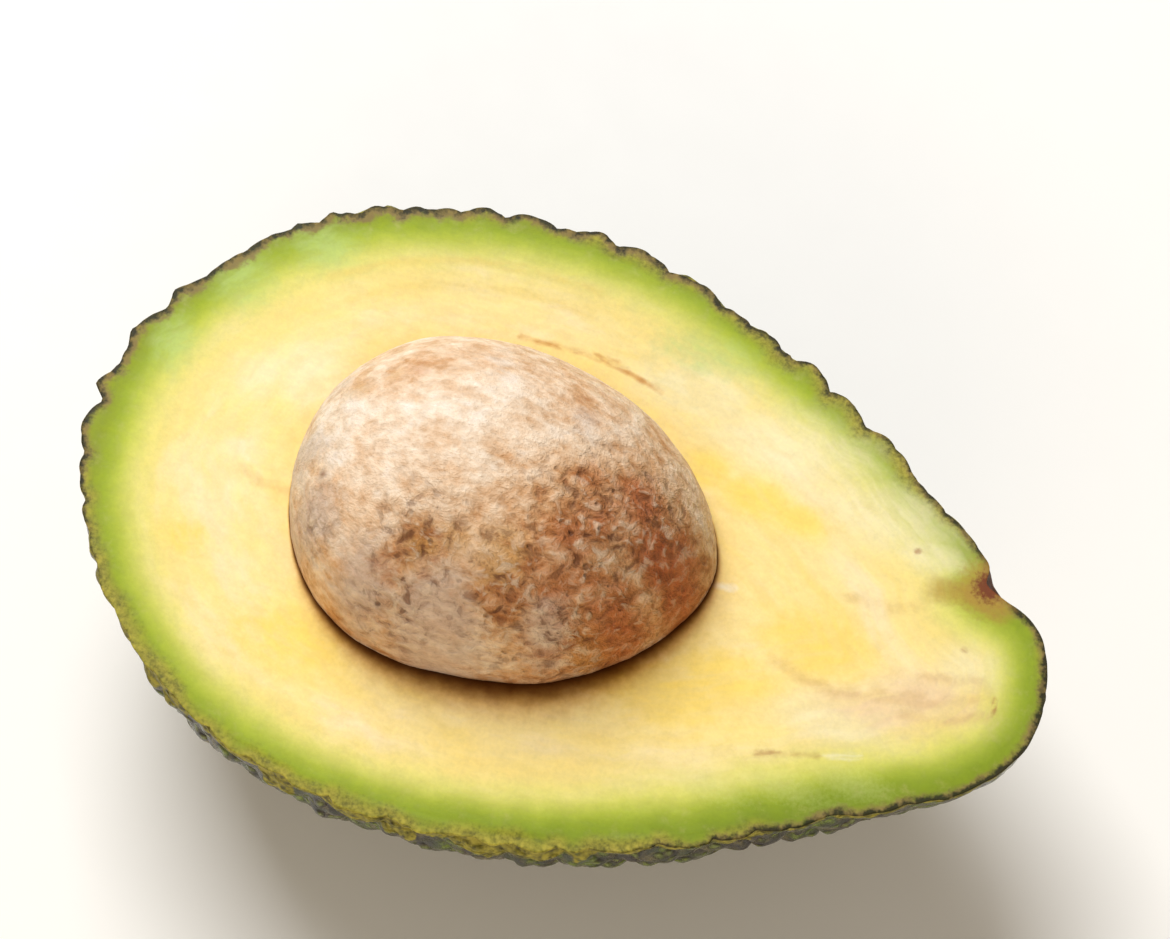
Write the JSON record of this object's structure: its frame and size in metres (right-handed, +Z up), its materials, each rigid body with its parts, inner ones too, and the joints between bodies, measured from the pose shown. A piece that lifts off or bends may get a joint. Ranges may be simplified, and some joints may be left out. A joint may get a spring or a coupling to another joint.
{
  "type": "avocado half",
  "caption": "Avocado half cut lengthwise: pebbled dark peel, pale green to yellow flesh and the egg-shaped seed standing in its hollow, lying on its back with the cut face up.",
  "frame": {"origin": "middle of the half's box in X and Y, on the surface it lies on", "axes": "+X along the fruit towards the stem end, +Z up and square to the cut face, which is level and faces +Z; +Y is the side of the stem scar"},
  "size_m": [0.0992, 0.0654, 0.0496],
  "materials": {
    "peel": null,
    "flesh": null,
    "seed": null
  },
  "bodies": {
    "root": {"peel": "peel", "flesh": "flesh", "seed": "seed"}
  },
  "joints": []
}
